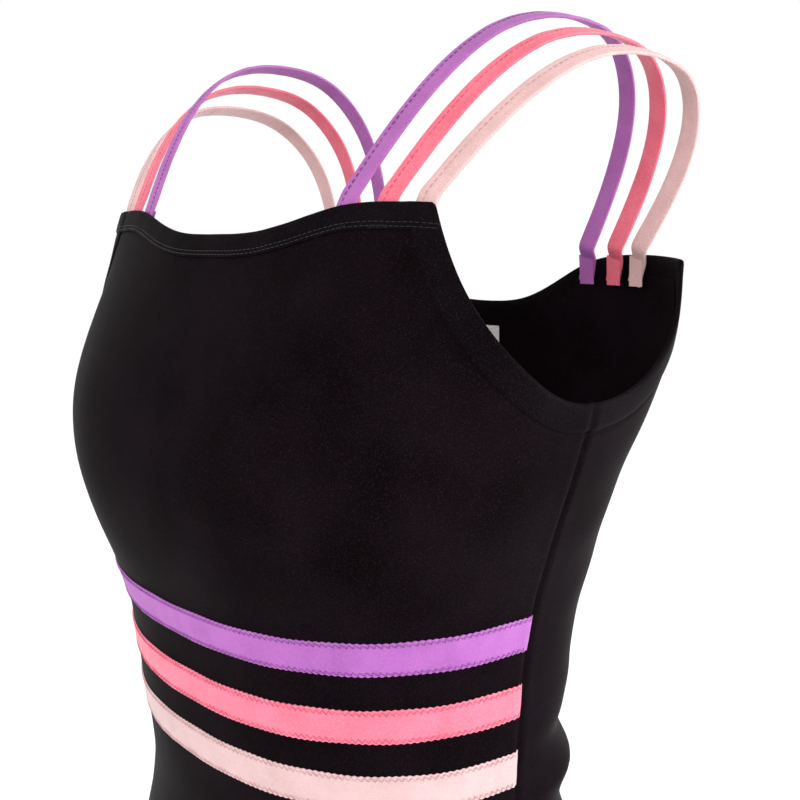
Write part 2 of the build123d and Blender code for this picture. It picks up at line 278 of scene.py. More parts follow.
def side_of_line(points, line):
    """Distance from a flat line, positive to its right."""
    best = np.full(len(points), 1e9)
    signed = np.zeros(len(points))
    for a, b in zip(line[:-1], line[1:]):
        run = b - a
        share = np.clip(((points - a) @ run) / (run @ run), 0, 1)
        gap = points - a - share[:, None] * run
        distance = np.hypot(gap[:, 0], gap[:, 1])
        closer = distance < best
        turn = gap[:, 0] * run[1] - gap[:, 1] * run[0]
        signed[closer] = (np.sign(turn) * distance)[closer]
        best[closer] = distance[closer]
    return signed


def neck_line(edge):
    return smooth_line([(-x, z) for x, z in reversed(edge[1:])] + edge, 120)


FRONT_LINE = neck_line(FRONT_NECK)
BACK_LINE = neck_line(BACK_NECK)
ARM_LINE = np.concatenate([[(-56.5, 360)], smooth_line(ARM_EDGE, 80), [(84, 360)]])
LEG_LINES = [np.concatenate([[(GUSSET_HALF_WIDTH, -420)], bezier(pulls), [(300, LEG_TOP_Z)]])
             for pulls in (FRONT_LEG_PULL, BACK_LEG_PULL)]


def below_neck(points):
    front = np.interp(points[:, 0], FRONT_LINE[:, 0], FRONT_LINE[:, 1])
    back = np.interp(points[:, 0], BACK_LINE[:, 0], BACK_LINE[:, 1])
    return np.where(points[:, 1] < SIDE_SEAM_Y, front, back) - points[:, 2]


def outside_arm(points):
    return side_of_line(points[:, 1:], ARM_LINE)


def above_leg(points):
    flat = np.stack([np.abs(points[:, 0]), points[:, 2]], 1)
    front, back = (-side_of_line(flat, line) for line in LEG_LINES)
    return np.where(points[:, 1] < SIDE_SEAM_Y, front, back)


def contours(values):
    """Lines on the skin where the values change sign, longest first, each as (points, closed)."""
    above = values[TRIANGLES] > 0
    links = {}
    for corners in TRIANGLES[above.any(1) & ~above.all(1)].tolist():
        ends = [tuple(sorted((corners[k], corners[k - 1]))) for k in range(3)
                if (values[corners[k]] > 0) != (values[corners[k - 1]] > 0)]
        links.setdefault(ends[0], []).append(ends[1])
        links.setdefault(ends[1], []).append(ends[0])
    lines = []
    while links:
        start = next((key for key, near in links.items() if len(near) == 1), next(iter(links)))
        walk = [start]
        while True:
            onward = [key for key in links.get(walk[-1], []) if key in links and key not in walk[-2:]]
            onward = [key for key in onward if key != start]
            if not onward:
                break
            walk.append(onward[0])
            if len(walk) > 2:
                links.pop(walk[-2], None)
        closed = start in links.get(walk[-1], []) and len(walk) > 3
        for key in walk:
            links.pop(key, None)
        low, high = np.array([k[0] for k in walk]), np.array([k[1] for k in walk])
        share = (values[low] / (values[low] - values[high]))[:, None]
        lines.append((GRID_POINTS[low] * (1 - share) + GRID_POINTS[high] * share, closed))
    return sorted(lines, key=lambda line: -len(line[0]))


def even_line(points, closed, step=BAND_STEP):
    """The same line with evenly spaced points, smoothed a little."""
    if closed:
        points = np.concatenate([points, points[:1]])
    lengths = lengths_along(points)
    count = max(4, int(round(lengths[-1] / step)))
    places = np.linspace(0, lengths[-1], count + 1)
    even = np.stack([np.interp(places, lengths, points[:, k]) for k in range(3)], 1)
    for _ in range(4):
        if closed:
            even[-1] = even[0]
            before, after = np.roll(even[:-1], 1, axis=0), np.roll(even[:-1], -1, axis=0)
            even[:-1] = even[:-1] / 2 + (before + after) / 4
        else:
            even[1:-1] = even[1:-1] / 2 + (even[:-2] + even[2:]) / 4
    return even[:-1] if closed else even


def trimmed(points, keep):
    """The longest unbroken stretch of a line whose points are kept."""
    best, run = [], []
    for index, kept in enumerate(list(keep) + [False]):
        if kept:
            run.append(index)
        else:
            best, run = (run if len(run) > len(best) else best), []
    return points[best]


NECK_FIELD = below_neck(GRID_POINTS)
ARM_FIELD = outside_arm(GRID_POINTS)
LEG_FIELD = above_leg(GRID_POINTS)


def neck_edge(front):
    for points, _ in contours(NECK_FIELD):
        kept = ((points[:, 1] < -20) == front) & (np.abs(points[:, 1]) > 20) & (outside_arm(points) > 0)
        line = trimmed(points, kept)
        if len(line) > 30:
            return even_line(line if line[0, 0] < line[-1, 0] else line[::-1], False)
    return None


def arm_edge():
    for points, closed in contours(ARM_FIELD):
        if points[:, 0].mean() < 0:
            continue
        low = int(np.argmin(points[:, 2]))
        turn = (len(points) // 2 - low) % len(points) if closed else 0
        points = np.roll(points, turn, axis=0)
        line = trimmed(points, below_neck(points) > 1.2)
        if len(line) > 30:
            return even_line(line if line[0, 1] < line[-1, 1] else line[::-1], False)
    return None


def leg_edge():
    for points, closed in contours(LEG_FIELD):
        if points[:, 0].mean() > 0 and len(points) > 60:
            return even_line(points, True)
    return None


FRONT_NECK_LINE = neck_edge(True)
BACK_NECK_LINE = neck_edge(False)
LEFT_ARM_LINE = arm_edge()
LEFT_LEG_LINE = leg_edge()


def distance_field(rough, lines):
    """The rough field, made exact near its edge by the real distance to the edge's points."""
    edge = np.concatenate([line * mirror for line in lines for mirror in (np.ones(3), np.array([-1, 1, 1]))])
    near = np.abs(rough) < 30
    points = GRID_POINTS[near]
    distance = np.concatenate([
        np.sqrt(((points[k:k + 500, None] - edge[None]) ** 2).sum(2).min(1))
        for k in range(0, len(points), 500)])
    exact = rough.copy()
    exact[near] = np.sign(rough[near]) * np.minimum(distance, 40)
    return exact


NECK_DISTANCE = distance_field(NECK_FIELD, [FRONT_NECK_LINE, BACK_NECK_LINE])
ARM_DISTANCE = distance_field(ARM_FIELD, [LEFT_ARM_LINE])
LEG_DISTANCE = distance_field(LEG_FIELD, [LEFT_LEG_LINE])


# ---- cloth cut from the skin -----------------------------------------------


class Cloth:
    """A piece of the skin's grid, which can be cut along any field of values."""

    def __init__(self):
        self.down = list(GRID_DOWN)
        self.angle = list(GRID_ANGLE)
        self.fields = {}
        self.faces = GRID_FACES.tolist()

    def cut(self, values, keep_rest=False):
        """Splits the faces where the values change sign, and drops the negative side unless keep_rest."""
        values = list(values)
        crossings = {}
        kept = []
        for face in self.faces:
            signs = [values[v] > 0 for v in face]
            if all(signs):
                kept.append(face)
                continue
            if not any(signs):
                if keep_rest:
                    kept.append(face)
                continue
            over, under = [], []
            for k, v in enumerate(face):
                (over if signs[k] else under).append(v)
                w = face[(k + 1) % len(face)]
                if signs[k] != signs[(k + 1) % len(face)]:
                    key = (min(v, w), max(v, w))
                    if key not in crossings:
                        crossings[key] = self.split(key, values)
                    over.append(crossings[key])
                    under.append(crossings[key])
            kept.append(over)
            if keep_rest and len(under) > 2:
                kept.append(under)
        self.faces = kept
        return values

    def split(self, key, values):
        i, j = key
        share = values[i] / (values[i] - values[j])
        turn = (self.angle[j] - self.angle[i] + math.pi) % (2 * math.pi) - math.pi
        self.down.append(self.down[i] + share * (self.down[j] - self.down[i]))
        self.angle.append(self.angle[i] + share * turn)
        for field in self.fields.values():
            field.append(field[i] + share * (field[j] - field[i]))
        values.append(0.0)
        return len(self.down) - 1

    def trim(self, name, least):
        self.cut([value - least for value in self.fields[name]])

    def crease(self, name, places):
        for place in places:
            self.cut([value - place for value in self.fields[name]], keep_rest=True)

    def compact(self):
        used = sorted({v for face in self.faces for v in face})
        number = {v: k for k, v in enumerate(used)}
        self.down = np.array([self.down[v] for v in used])
        self.angle = np.array([self.angle[v] for v in used])
        self.fields = {name: np.array([field[v] for v in used]) for name, field in self.fields.items()}
        self.faces = [[number[v] for v in face] for face in self.faces]
        return self


def side_field(front):
    return (SIDE_SEAM_Y - GRID_POINTS[:, 1]) * (1 if front else -1)


def cut_panel(front):
    y, z = GRID_POINTS[:, 1], GRID_POINTS[:, 2]
    crotch = (GUSSET_FRONT_Y - y) if front else (y - GUSSET_BACK_Y)
    cloth = Cloth()
    cloth.fields = {
        "side": side_field(front).tolist(), "crotch": np.maximum(z + 215, crotch).tolist(),
        "neck": NECK_DISTANCE.tolist(), "arm": ARM_DISTANCE.tolist(), "leg": LEG_DISTANCE.tolist()}
    cloth.trim("side", 0)
    cloth.trim("crotch", 0)
    cloth.trim("neck", NECK_BAND - 1.5)
    cloth.trim("arm", ARM_BAND - 1.5)
    cloth.trim("leg", LEG_BAND - 1.5)
    cloth.crease("side", (0.5, 1.1, 2.0, 3.5))
    cloth.crease("arm", (ARM_BAND + 1, ARM_BAND + 3))
    cloth.crease("neck", (NECK_BAND + 1, NECK_BAND + 3))
    cloth.crease("leg", (LEG_BAND + 1, LEG_BAND + 3))
    return cloth.compact()


def cut_gusset():
    y, z = GRID_POINTS[:, 1], GRID_POINTS[:, 2]
    cloth = Cloth()
    inside = np.minimum(np.minimum(y - GUSSET_FRONT_Y, GUSSET_BACK_Y - y), -215 - z)
    cloth.fields = {"inside": inside.tolist(), "leg": LEG_DISTANCE.tolist()}
    cloth.trim("inside", 0)
    cloth.trim("leg", LEG_BAND - 1.5)
    cloth.crease("inside", (0.5, 1.1, 2.0, 3.5))
    return cloth.compact()


# ---- meshes ----------------------------------------------------------------


def joined(parts):
    points, faces, start = [], [], 0
    for part_points, part_faces in parts:
        points.append(np.asarray(part_points))
        faces += [[v + start for v in face] for face in part_faces]
        start += len(part_points)
    return np.concatenate(points), faces


def mirrored(part):
    points, faces = part
    return np.asarray(points) * np.array([-1, 1, 1]), [list(reversed(face)) for face in faces]


def tube_faces(rows, ring, closed):
    faces = []
    for i in range(rows if closed else rows - 1):
        for j in range(ring):
            a, b = i * ring, ((i + 1) % rows) * ring
            faces.append([a + j, b + j, b + (j + 1) % ring, a + (j + 1) % ring])
    if not closed:
        faces.append(list(range(ring)))
        faces.append([(rows - 1) * ring + j for j in reversed(range(ring))])
    return faces


def tangents(line, closed):
    if closed:
        return unit(np.roll(line, -1, axis=0) - np.roll(line, 1, axis=0))
    return unit(np.gradient(line, axis=0))


def inward_from(line, closed, field):
    """Directions in the skin, square to an edge, that point into the cloth."""
    _, normals = drape(line, 0)
    across = unit(np.cross(normals, tangents(line, closed)))
    middle = len(line) // 2
    step = line[middle] + 4 * across[middle]
    return across if field(step[None])[0] > field(line[middle][None])[0] else -across


def tube(path, radius, ring=5):
    """A thread along a path."""
    path = np.asarray(path, float)
    along = tangents(path, False)
    helper = np.where(np.abs(along[:, 2:]) < 0.9, [[0.0, 0.0, 1.0]], [[1.0, 0.0, 0.0]])
    u = unit(np.cross(along, helper))
    v = np.cross(along, u)
    turns = np.arange(ring) * 2 * math.pi / ring
    circle = u[:, None] * np.cos(turns)[None, :, None] + v[:, None] * np.sin(turns)[None, :, None]
    return (path[:, None] + radius * circle).reshape(-1, 3), tube_faces(len(path), ring, False)


def resampled(points, places):
    lengths = lengths_along(points)
    return np.stack([np.interp(places, lengths, points[:, k]) for k in range(3)], 1)


def stitches(points, normals, length, gap, radius, sink=0.3):
    """Short threads along a line, each dipping into the cloth at both ends."""
    total = lengths_along(points)[-1]
    threads = []
    place = gap
    while place + length < total:
        spots = place + length * np.array([0, 0.12, 0.5, 0.88, 1])
        lift = radius * np.array([-1.5, 0.3, 0.6, 0.3, -1.5]) * (1 - sink)
        middle = resampled(points, spots)
        path = middle + unit(resampled(normals + points, spots) - middle) * lift[:, None]
        threads.append(tube(path, radius))
        place += length + gap
    return joined(threads)


def zigzag(points, normals, across, width, pitch, radius):
    """A thread that runs in small V stitches along a line, `width` to one side and back."""
    total = lengths_along(points)[-1]
    count = int(total / pitch) * 4
    places = np.linspace(0, count * pitch / 4, count + 1)
    swing = np.abs((places / pitch) % 1 * 2 - 1)
    spots = resampled(points, places)
    up = unit(resampled(points + normals, places) - spots)
    side = unit(resampled(points + across, places) - spots)
    lift = radius * (0.9 - 1.4 * (np.abs(swing - 0.5) > 0.4))
    return tube(spots + side * (swing * width)[:, None] + up * lift[:, None], radius)


# ---- meshes from closed parts ----------------------------------------------


def outward(part):
    """The part with its faces turned so that it encloses a positive volume."""
    points, faces = part
    points = np.asarray(points, float)
    around = points - points.mean(axis=0)
    fans = np.array([[f[0], f[k], f[k + 1]] for f in faces for k in range(1, len(f) - 1)])
    a, b, c = (around[fans[:, k]] for k in range(3))
    if np.einsum("ij,ij->", a, np.cross(b, c)) < 0:
        faces = [list(reversed(face)) for face in faces]
    return points, faces


def make_piece(name, parts, nodes=(), body="root", crease=50):
    """One object from closed parts, each with its own material, riding on a body."""
    points, faces, numbers, materials, start = [], [], [], [], 0
    for part, material in parts:
        if material not in materials:
            materials.append(material)
        part_points, part_faces = outward(part)
        points.append(part_points)
        faces += [[v + start for v in face] for face in part_faces]
        numbers += [materials.index(material)] * len(part_faces)
        start += len(part_points)
    mesh = bpy.data.meshes.new(name)
    mesh.from_pydata((np.concatenate(points) * MM).tolist(), [], faces)
    for material in materials:
        mesh.materials.append(material)
    mesh.polygons.foreach_set("material_index", numbers)
    mesh.shade_smooth()
    mesh.set_sharp_from_angle(angle=math.radians(crease))
    mesh.update()
    piece = bpy.data.objects.new(name, mesh)
    bpy.context.scene.collection.objects.link(piece)
    if body:
        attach(piece, body)
    if nodes:
        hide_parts(*nodes)
    return piece


def both_sides(part, maker):
    maker("left", part)
    maker("right", mirrored(part))


# ---- materials -------------------------------------------------------------


class Graph:
    """A material's nodes, added one at a time."""

    def __init__(self, name, **sockets):
        self.material = bpy.data.materials.new(name)
        self.material.use_nodes = True
        self.tree = self.material.node_tree
        self.shader = self.tree.nodes["Principled BSDF"]
        self.place = self.add("ShaderNodeTexCoord").outputs["Object"]
        for label, value in sockets.items():
            self.shader.inputs[label.replace("_", " ")].default_value = value

    def add(self, kind, values=(), **settings):
        node = self.tree.nodes.new(kind)
        for key, value in settings.items():
            setattr(node, key, value)
        for key, value in dict(values).items():
            if isinstance(value, bpy.types.NodeSocket):
                self.tree.links.new(value, node.inputs[key])
            else:
                node.inputs[key].default_value = value
        return node

    def noise(self, scale, detail=2, stretch=(1, 1, 1)):
        place = self.add("ShaderNodeMapping", {"Vector": self.place, "Scale": stretch}).outputs[0]
        return self.add("ShaderNodeTexNoise",
                        {"Vector": place, "Scale": scale, "Detail": detail}).outputs["Fac"]

    def cells(self, scale, stretch=(1, 1, 1)):
        place = self.add("ShaderNodeMapping", {"Vector": self.place, "Scale": stretch}).outputs[0]
        return self.add("ShaderNodeTexVoronoi", {"Vector": place, "Scale": scale}).outputs["Distance"]

    def rows(self, scale, direction="Z", distortion=0.6):
        return self.add("ShaderNodeTexWave", {"Vector": self.place, "Scale": scale, "Distortion": distortion,
                                              "Detail": 1, "Detail Scale": 6},
                        bands_direction=direction).outputs["Fac"]

    def spread(self, value, low, high, to_low=0.0, to_high=1.0):
        return self.add("ShaderNodeMapRange", {"Value": value, "From Min": low, "From Max": high,
                                               "To Min": to_low, "To Max": to_high}).outputs[0]

    def maths(self, kind, first, second):
        return self.add("ShaderNodeMath", {0: first, 1: second}, operation=kind).outputs[0]

    def blend(self, factor, low, high):
        node = self.add("ShaderNodeMix", data_type="RGBA")
        for index, value in ((0, factor), (6, low), (7, high)):
            if isinstance(value, bpy.types.NodeSocket):
                self.tree.links.new(value, node.inputs[index])
            else:
                node.inputs[index].default_value = value
        return node.outputs[2]

    def finish(self, colour, roughness, height, depth, strength=1.0):
        links = self.tree.links
        links.new(colour, self.shader.inputs["Base Color"])
        links.new(roughness, self.shader.inputs["Roughness"])
        bump = self.add("ShaderNodeBump", {"Height": height, "Distance": depth, "Strength": strength})
        links.new(bump.outputs[0], self.shader.inputs["Normal"])
        return self.material


def tone(red, green, blue):
    return (red, green, blue, 1.0)


def stretch_nylon(name, dark, light, rough, sheen, grain):
    """Fine warp knit: tiny pale specks painted into the colour as glints (painted highlights) on a matte
    ground, faint wales down the cloth and soft broad patches.
    """
    g = Graph(name, Sheen_Weight=sheen, Sheen_Roughness=0.35, Sheen_Tint=tone(0.8, 0.7, 0.8), IOR=1.13,
              Specular_IOR_Level=0.1)
    fine = g.noise(2600, 2)
    # Painted highlight: fine pale specks in the base colour stand in for glints of light on the knit.
    painted_glint = g.spread(g.noise(1900, 1), 0.56, 0.72)
    patch = g.spread(g.noise(26, 3), 0.35, 0.68)
    mixed = g.maths("ADD", g.maths("MULTIPLY", painted_glint, 0.75), g.maths("MULTIPLY", patch, 0.22))
    colour = g.blend(mixed, dark, light)
    wales = g.rows(620, "X", 1.2)
    height = g.maths("ADD", g.maths("MULTIPLY", fine, 0.7), g.maths("MULTIPLY", wales, 0.3))
    return g.finish(colour, g.spread(fine, 0.3, 0.7, rough - 0.06, rough + 0.08), height, grain)


def satin_knit(name, dark, middle, light, rough, sheen):
    """Coloured stretch fabric: a close grain, small pale specks painted as highlights on puckers, and
    slightly darker patches.
    """
    g = Graph(name, Sheen_Weight=sheen, Sheen_Roughness=0.4, Specular_IOR_Level=0.35)
    fine = g.noise(2400, 2)
    patch = g.spread(g.noise(60, 3), 0.3, 0.7)
    ground = g.blend(patch, dark, middle)
    # Painted highlight: small pale specks, drawn out up the cloth, lighten the colour where light would catch
    # puckers.
    colour = g.blend(g.spread(g.noise(900, 2, (1, 1, 2.5)), 0.5, 0.75, 0, 0.6), ground, light)
    height = g.maths("ADD", g.maths("MULTIPLY", fine, 0.6),
                     g.maths("MULTIPLY", g.noise(500, 2, (1, 1, 3)), 0.6))
    return g.finish(colour, g.spread(fine, 0.3, 0.7, rough - 0.08, rough + 0.08), height, 0.00012)


def thread(name, dark, light):
    g = Graph(name, Sheen_Weight=0.15, Specular_IOR_Level=0.4)
    twist = g.noise(3200, 1, (1, 1, 0.4))
    return g.finish(g.blend(twist, dark, light), g.spread(twist, 0.3, 0.7, 0.42, 0.6), twist, 0.00006)


def ribbed(name, dark, light, rough):
    """Braided elastic: close ribs across the strip."""
    g = Graph(name, Specular_IOR_Level=0.3)
    ribs = g.rows(420, "Z", 0.3)
    colour = g.blend(g.maths("MULTIPLY", ribs, g.noise(700)), dark, light)
    return g.finish(colour, g.spread(ribs, 0, 1, rough, rough + 0.1), ribs, 0.0002)


NYLON = stretch_nylon("black stretch nylon", tone(0.0026, 0.0012, 0.0019), tone(0.0140, 0.0088, 0.0118),
                      0.46, 0.002, 0.00008)
BINDING = stretch_nylon("black binding", tone(0.0026, 0.0015, 0.0022), tone(0.0145, 0.0108, 0.0136), 0.44,
                        0.004, 0.00009)
LINING = stretch_nylon("black lining", tone(0.002, 0.0015, 0.002), tone(0.008, 0.0068, 0.008), 0.7, 0.01,
                       0.00010)
SEAM_TAPE = stretch_nylon("overlocked seam", tone(0.003, 0.0024, 0.003), tone(0.014, 0.012, 0.014), 0.65,
                          0.02, 0.0002)
FABRICS = {
    "purple": satin_knit("purple fabric", tone(0.32, 0.085, 0.36), tone(0.40, 0.115, 0.43),
                         tone(0.47, 0.16, 0.50), 0.62, 0.06),
    "rose": satin_knit("rose fabric", tone(0.70, 0.135, 0.205), tone(0.79, 0.175, 0.265),
                       tone(0.85, 0.28, 0.37), 0.44, 0.08),
    "blush": satin_knit("blush fabric", tone(0.56, 0.36, 0.36), tone(0.65, 0.44, 0.44),
                        tone(0.73, 0.55, 0.54), 0.44, 0.08),
}
# Painted shade: the straps' cloth is a darker copy of each stripe fabric, standing in for the straps getting
# less light than the stripes.
STRAP_FABRICS_WITH_PAINTED_SHADE = {
    "purple": satin_knit("purple strap, painted shade", tone(0.30, 0.085, 0.30), tone(0.37, 0.11, 0.37),
                         tone(0.44, 0.15, 0.44), 0.62, 0.06),
    "rose": satin_knit("rose strap, painted shade", tone(0.64, 0.10, 0.15), tone(0.74, 0.14, 0.20), tone(0.82, 0.24, 0.31),
                       0.42, 0.08),
    "blush": satin_knit("blush strap, painted shade", tone(0.56, 0.34, 0.33), tone(0.66, 0.42, 0.41), tone(0.76, 0.54, 0.53),
                        0.42, 0.08),
}
THREADS = {
    "black": thread("black thread", tone(0.003, 0.0025, 0.003), tone(0.014, 0.012, 0.014)),
    "purple": thread("purple thread", tone(0.16, 0.025, 0.20), tone(0.25, 0.05, 0.30)),
    "rose": thread("rose thread", tone(0.50, 0.045, 0.10), tone(0.66, 0.09, 0.17)),
    "blush": thread("blush thread", tone(0.44, 0.20, 0.23), tone(0.58, 0.31, 0.34)),
}
ELASTIC = ribbed("braided elastic", tone(0.55, 0.54, 0.52), tone(0.75, 0.74, 0.71), 0.6)
LABEL = ribbed("satin label", tone(0.72, 0.71, 0.69), tone(0.85, 0.84, 0.82), 0.35)

# ---- panels, gusset and linings --------------------------------------------


def groove(distance, place, width, depth):
    return depth * np.exp(-((distance - place) / width) ** 2)


def panel_height(cloth):
    """The outer face of a panel: pulled down along the seams, puffed a little beside them."""
    height = np.full(len(cloth.down), 1.5)
    for name, band, depth in (("arm", ARM_BAND, 0.45), ("leg", LEG_BAND, 0.4), ("neck", NECK_BAND, 0.25)):
        distance = cloth.fields[name]
        height -= groove(distance, band, 1.3, depth)
        height += groove(distance, band + 3.2, 1.4, 0.12)
    return height


def finish_panel(name, front):
    cloth = cut_panel(front)
    points, faces = thick_part(cloth, panel_height(cloth), 0.55)
    piece = make_piece(name, [((points, faces), NYLON)], [name])
    return piece, cloth


def thick_part(cloth, outer, inner):
    """A cloth with a front and a back face and a rim, at the given heights from the skin."""
    count = len(cloth.down)
    top, _ = settle(cloth.down, cloth.angle, outer)
    under, _ = settle(cloth.down, cloth.angle, inner)
    edges = {}
    for face in cloth.faces:
        for k in range(len(face)):
            edges[(face[k], face[(k + 1) % len(face)])] = True
    rim = [[b, a, a + count, b + count] for a, b in edges if (b, a) not in edges]
    back = [[v + count for v in reversed(face)] for face in cloth.faces]
    return np.concatenate([top, under]), cloth.faces + back + rim


front_panel, FRONT_CLOTH = finish_panel("front_panel", True)
back_panel, _ = finish_panel("back_panel", False)
front_lining = make_piece("front_lining", [(thick_part(FRONT_CLOTH, 0.42, 0.02), LINING)],
                          ["front_lining"])

GUSSET_CLOTH = cut_gusset()
crotch_gusset = make_piece("crotch_gusset", [(thick_part(GUSSET_CLOTH, 1.5, 0.55), NYLON)], ["crotch_gusset"])
gusset_lining = make_piece("gusset_lining", [(thick_part(GUSSET_CLOTH, 0.42, 0.02), LINING)],
                           ["gusset_lining"])

# ---- bands along the edges -------------------------------------------------


def edge_band(line, closed, field, width, seam_drop, crown, pucker, phase):
    """The folded strip along one edge: a rounded fold, a soft crown, and a crease where it is sewn on."""
    line = np.asarray(line)
    inward = inward_from(line, closed, field)
    edge = 2.45 + crown
    profile = [(0.35, 0.35), (-0.15, 0.7), (-0.35, 1.3), (-0.1, 2.0), (0.6, edge - 0.1), (2.2, edge),
               (width * 0.5, edge), (width - 2.4, edge - 0.05), (width - 1.0, edge - 0.25),
               (width - 0.1, edge - seam_drop * 0.6), (width + 0.35, 2.45 - seam_drop), (width, 1.25),
               (width - 2.5, 1.2), (width * 0.4, 0.42)]
    place = lengths_along(line)
    wobble = pucker * (np.sin(place / 2.9 + phase)
                       + 0.7 * np.sin(place / 5.3 + 2 * phase + np.sin(place / 31)))
    rows = []
    for reach, height in profile:
        share = np.clip((reach - 1.5) / (width - 2), 0, 1) * (height > 1.4)
        rows.append(drape(line + inward * reach, height + wobble * share * (1.2 - share))[0])
    points = np.stack(rows, 1).reshape(-1, 3)
    return (points, tube_faces(len(line), len(profile), closed)), inward


def edge_elastic(line, closed, inward, width):
    profile = [(1.8, 1.45), (1.8, 1.9), (width - 3, 1.9), (width - 3, 1.45)]
    rows = [drape(line + inward * reach, height)[0] for reach, height in profile]
    return np.stack(rows, 1).reshape(-1, 3), tube_faces(len(line), len(profile), closed)


def in_front_neck(points):
    return np.interp(points[:, 0], FRONT_LINE[:, 0], FRONT_LINE[:, 1]) - points[:, 2]


def in_back_neck(points):
    return np.interp(points[:, 0], BACK_LINE[:, 0], BACK_LINE[:, 1]) - points[:, 2]


def to_armholes(line, reach, half):
    """A neck line moved into the cloth, stretched sideways so that it still ends at the armhole edges."""
    ahead = LEFT_ARM_LINE[:, 1] < SIDE_SEAM_Y if half == "front" else LEFT_ARM_LINE[:, 1] > SIDE_SEAM_Y
    edge = LEFT_ARM_LINE[ahead]
    edge = edge[np.argsort(edge[:, 2])]
    end = np.interp(line[-1, 2] - max(reach, 0), edge[:, 2], edge[:, 0]) + HEM_OVERLAP
    corner = HEM_CORNER - math.sqrt(HEM_CORNER ** 2 - min(max(HEM_CORNER - reach, 0), HEM_CORNER) ** 2)
    share = (end - corner) / line[-1, 0]
    across = np.abs(line[:, 0]) / line[-1, 0]
    return line * np.stack([1 + (share - 1) * across ** 6, np.ones(len(line)), np.ones(len(line))], 1)


def neck_hem(line, half, field):
    """The folded hem along a neckline, carried over the ends of the armhole bands with rounded corners."""
    total = lengths_along(line)[-1]
    starts = np.array([0, 0.12, 0.35, 0.7, 1.1, 1.6])
    places = np.concatenate([starts, np.linspace(2.2, total - 2.2, int(total / BAND_STEP)),
                             total - starts[::-1]])
    line = resampled(line, places)
    inward = inward_from(line, False, field)
    edge = NECK_BAND
    profile = [(0.35, 0.35), (-0.15, 0.7), (-0.35, 1.3), (-0.1, 2.0), (0.6, 2.38), (2.2, 2.5),
               (edge - 3.2, 2.5),
               (edge - 2.8, 2.36), (edge - 2.4, 2.36), (edge - 2.0, 2.46), (edge - 1.4, 2.44),
               (edge - 1.0, 2.3),
               (edge - 0.6, 2.3), (edge - 0.2, 2.2), (edge + 0.3, 1.85), (edge, 1.3), (edge - 2.5, 1.2),
               (edge * 0.4, 0.42)]
    ease = np.clip(np.minimum(places, total - places) / 1.6, 0, 1)
    ease = 0.25 + 0.75 * np.sqrt(1 - (1 - ease) ** 2)
    wobble = 0.06 * (np.sin(places / 2.9 + 1) + 0.7 * np.sin(places / 5.3 + 2 + np.sin(places / 31)))
    rows, stitch_rows = [], []
    for reach, height in profile:
        rows.append(hem_row(line, inward, half, reach, height, wobble * (height > 1.7), ease))
    for reach in (edge - 2.6, edge - 0.8):
        lift = HEM_STITCH_HEIGHT + 0 * places
        stitch_rows.append(hem_row(line, inward, half, reach, lift, wobble, ease))
    return (np.stack(rows, 1).reshape(-1, 3),
            tube_faces(len(line), len(profile), False)), stitch_rows, line, inward


def hem_row(line, inward, half, reach, height, wobble, ease):
    spots = to_armholes(line, reach, half) + inward * reach
    sides = np.stack([LEFT_ARM_LINE, LEFT_ARM_LINE * np.array([-1, 1, 1])])
    distance = np.min([np.linalg.norm(spots[:, None] - arm[None], axis=2).min(axis=1) for arm in sides],
                      axis=0)
    over = np.clip((ARM_BAND + 3.5 - distance) / 4, 0, 1)
    over = over * over * (3 - 2 * over) * HEM_RISE * np.clip((height - 0.35) / 2, 0, 1)
    middle = 1.5
    return drape(spots, middle + (height + over + wobble - middle) * ease)[0]


HEM_OVERLAP = 0.7
HEM_CORNER = 3.0
HEM_RISE = 0.7
HEM_STITCH_HEIGHT = 2.38
for half, line, field in (("front", FRONT_NECK_LINE, in_front_neck), ("back", BACK_NECK_LINE, in_back_neck)):
    hem, stitch_rows, line, inward = neck_hem(line, half, field)
    threads = joined([stitches(row, drape(row, 0)[1], 1.9, 0.9, 0.12) for row in stitch_rows])
    make_piece(half + "_neck_binding", [(hem, BINDING), (threads, THREADS["black"])],
               [half + "_neck_binding"])
    make_piece(half + "_neck_elastic", [(edge_elastic(line, False, inward, NECK_BAND), ELASTIC)],
               [half + "_neck_elastic"])

ARM_HEM, ARM_INWARD = edge_band(LEFT_ARM_LINE, False, outside_arm, ARM_BAND, 1.0, 0.1, 0.06, 2.0)
ARM_ELASTIC = edge_elastic(LEFT_ARM_LINE, False, ARM_INWARD, ARM_BAND)
LEG_HEM, LEG_INWARD = edge_band(LEFT_LEG_LINE, True, above_leg, LEG_BAND, 1.0, 0.1, 0.08, 3.0)
LEG_ELASTIC = edge_elastic(LEFT_LEG_LINE, True, LEG_INWARD, LEG_BAND)
both_sides(ARM_HEM, lambda side, part: make_piece(
    side + "_armhole_binding", [(part, BINDING)], [side + "_armhole_binding"]))
both_sides(ARM_ELASTIC, lambda side, part: make_piece(
    side + "_armhole_elastic", [(part, ELASTIC)], [side + "_armhole_elastic"]))
both_sides(LEG_HEM, lambda side, part: make_piece(
    side + "_leg_binding", [(part, BINDING)], [side + "_leg_binding"]))
both_sides(LEG_ELASTIC, lambda side, part: make_piece(
    side + "_leg_elastic", [(part, ELASTIC)], [side + "_leg_elastic"]))

# ---- stripes ---------------------------------------------------------------


def arc_height(x, edge_z, sag):
    """Height of the arc that falls by `sag` between two side seams, at x."""
    radius = (STRIPE_REACH ** 2 + sag ** 2) / (2 * sag)
    return edge_z - sag + radius - np.sqrt(radius ** 2 - x ** 2)


def skin_ring(z, angles):
    """The skin at a height for each angle round the body."""
    down = np.interp(-z, -SKIN[:, 0, 2], LEVEL_KNOTS)
    for _ in range(4):
        points = skin_at(down, angles)
        down = down + points[:, 2] - z
    return points


